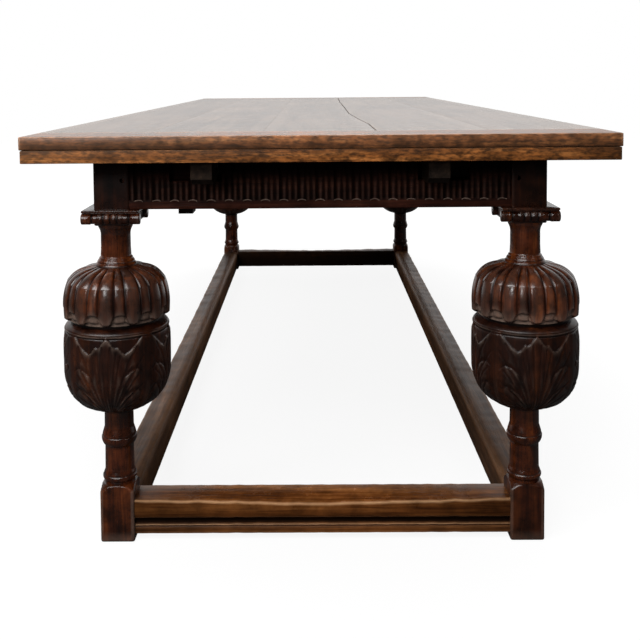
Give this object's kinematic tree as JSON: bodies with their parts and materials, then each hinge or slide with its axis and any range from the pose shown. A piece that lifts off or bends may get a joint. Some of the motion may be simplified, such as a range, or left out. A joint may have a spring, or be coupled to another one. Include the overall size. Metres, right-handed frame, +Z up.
{
  "type": "draw-leaf table",
  "caption": "Long oak draw-leaf table on bulbous carved legs with low stretchers; both leaves slide out from under the loose top and lift it as they go.",
  "frame": {"origin": "on the floor, at the middle of the table's plan", "axes": "+Z up, +Y along the table from its near end to its far end, +X to the right seen from the near end"},
  "size_m": [1.026, 2.64, 0.762],
  "materials": {
    "carved_oak": "dark waxed polish, glossy",
    "frieze_oak": "dark waxed polish",
    "stretcher_oak": "worn wax polish",
    "plain_oak": "bare stained wood",
    "peg_oak": "stained wood",
    "leaf_oak": "satin polish",
    "top_oak": "satin polish, worn"
  },
  "bodies": {
    "frame": {"near_left_leg": "carved_oak", "near_right_leg": "carved_oak", "far_right_leg": "carved_oak", "far_left_leg": "carved_oak", "near_left_capital": "carved_oak", "near_right_capital": "carved_oak", "far_right_capital": "carved_oak", "far_left_capital": "carved_oak", "near_end_rail": "frieze_oak", "far_end_rail": "frieze_oak", "left_side_rail": "frieze_oak", "right_side_rail": "frieze_oak", "near_end_stretcher": "stretcher_oak", "far_end_stretcher": "stretcher_oak", "left_side_stretcher": "stretcher_oak", "right_side_stretcher": "stretcher_oak", "near_cross_rail": "plain_oak", "far_cross_rail": "plain_oak", "centre_bearer": "plain_oak", "rail_pegs": "peg_oak"},
    "near_leaf": {"near_leaf_board_1": "leaf_oak", "near_leaf_board_2": "leaf_oak", "near_leaf_board_3": "leaf_oak", "near_leaf_board_4": "leaf_oak", "near_leaf_board_5": "leaf_oak", "near_leaf_outer_cleat": "leaf_oak", "near_leaf_inner_cleat": "leaf_oak", "near_leaf_left_runner": "plain_oak", "near_leaf_right_runner": "plain_oak", "near_leaf_stop_block": "plain_oak"},
    "far_leaf": {"far_leaf_board_1": "leaf_oak", "far_leaf_board_2": "leaf_oak", "far_leaf_board_3": "leaf_oak", "far_leaf_board_4": "leaf_oak", "far_leaf_board_5": "leaf_oak", "far_leaf_outer_cleat": "leaf_oak", "far_leaf_inner_cleat": "leaf_oak", "far_leaf_left_runner": "plain_oak", "far_leaf_right_runner": "plain_oak", "far_leaf_stop_block": "plain_oak"},
    "top": {"top_board_1": "top_oak", "top_board_2": "top_oak", "top_board_3": "top_oak", "top_board_4": "top_oak", "top_board_5": "top_oak", "top_near_cleat": "top_oak", "top_far_cleat": "top_oak", "top_locating_pegs": "peg_oak"}
  },
  "joints": [
    {"name": "near_leaf_draw", "type": "slide", "parent": "frame", "child": "near_leaf", "axis": [0, -0.9998, 0.0193], "range_m": [0, 1.207]},
    {"name": "far_leaf_draw", "type": "slide", "parent": "frame", "child": "far_leaf", "axis": [0, 0.9998, 0.0193], "range_m": [0, 1.207]},
    {"name": "top_lift", "type": "slide", "parent": "frame", "child": "top", "axis": [0, 0, 1], "range_m": [0, 0.02326]}
  ],
  "couplings": [
    {"joint": "far_leaf_draw", "follows": "near_leaf_draw", "ratio": 1},
    {"joint": "top_lift", "follows": "near_leaf_draw", "ratio": 0.019267}
  ]
}
